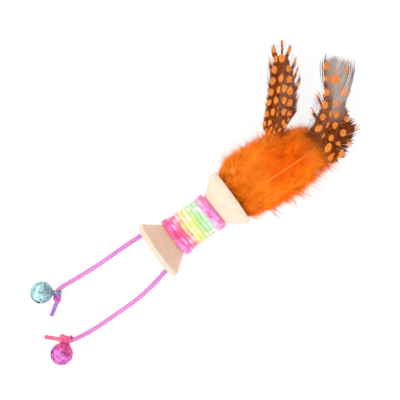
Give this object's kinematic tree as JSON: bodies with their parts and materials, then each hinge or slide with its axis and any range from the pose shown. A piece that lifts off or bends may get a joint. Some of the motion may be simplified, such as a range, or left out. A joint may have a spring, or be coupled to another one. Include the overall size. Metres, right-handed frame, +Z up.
{
  "type": "cat spool toy",
  "caption": "Wooden thread spool wound with variegated satin cord, with jingle bells on short cords at one end and orange down with spotted feathers at the other.",
  "frame": {"origin": "on the table, under the middle of the toy's box without its free cords", "axes": "+X along the spool's axis from the bell end to the feathers, +Z up, as the toy lies on its rims"},
  "size_m": [0.1845, 0.0609, 0.0265],
  "materials": {
    "turned_wood": "bare, fine sanded",
    "variegated_satin": "satin sheen",
    "pink_satin": "satin sheen",
    "violet_satin": "satin sheen",
    "coral_satin": "satin sheen",
    "blue_lacquer": "hammered metallic lacquer",
    "magenta_lacquer": "hammered metallic lacquer",
    "steel": "plain",
    "hot_glue": "translucent, smooth",
    "quill_horn": "smooth horn",
    "spotted_barbs": "matte barbs",
    "orange_down": "matte fluff"
  },
  "bodies": {
    "spool": {"spool": "turned_wood", "cord_winding": "variegated_satin", "glue_plug": "hot_glue", "cord_stub_blue": "pink_satin", "cord_stub_pink": "pink_satin", "feather_left_shaft": "quill_horn", "feather_left_vane": "spotted_barbs", "feather_right_shaft": "quill_horn", "feather_right_vane": "spotted_barbs", "plume_left_quill": "quill_horn", "plume_left_down": "orange_down", "plume_right_quill": "quill_horn", "plume_right_down": "orange_down"},
    "blue_cord": {"bell_cord_blue": "pink_satin", "knot_blue": "pink_satin", "cord_tail_blue": "violet_satin"},
    "blue_bell": {"bell_blue_top": "blue_lacquer", "bell_blue_bottom": "blue_lacquer"},
    "blue_pellet": {"bell_blue_pellet": "steel"},
    "pink_cord": {"bell_cord_pink": "pink_satin", "knot_pink": "coral_satin", "cord_tail_pink": "coral_satin"},
    "pink_bell": {"bell_pink_top": "magenta_lacquer", "bell_pink_bottom": "magenta_lacquer"},
    "pink_pellet": {"bell_pink_pellet": "steel"}
  },
  "joints": [
    {"name": "blue_cord_swing", "type": "hinge", "parent": "spool", "child": "blue_cord", "pos_m": [-0.0278, -0.00315, 0], "axis": [0, 0, 1], "range_deg": [-40, 4]},
    {"name": "blue_bell_swing", "type": "hinge", "parent": "blue_cord", "child": "blue_bell", "pos_m": [-0.0732, -0.00185, 0.00304], "axis": [0.617, 0.7869, 0], "range_deg": [0, 80]},
    {"name": "blue_pellet_roll", "type": "hinge", "parent": "blue_bell", "child": "blue_pellet", "pos_m": [-0.07841, 0.00224, 0.00545], "axis": [-0.7395, 0.5798, 0.342], "continuous": true},
    {"name": "pink_cord_swing", "type": "hinge", "parent": "spool", "child": "pink_cord", "pos_m": [-0.0278, -0.02215, 0], "axis": [0, 0, 1], "range_deg": [-4, 40]},
    {"name": "pink_bell_swing", "type": "hinge", "parent": "pink_cord", "child": "pink_bell", "pos_m": [-0.0812, -0.02235, 0.00304], "axis": [-0.4509, 0.8926, 0], "range_deg": [0, 80]},
    {"name": "pink_pellet_roll", "type": "hinge", "parent": "pink_bell", "child": "pink_pellet", "pos_m": [-0.08711, -0.02534, 0.00545], "axis": [-0.8388, -0.4237, 0.342], "continuous": true}
  ]
}
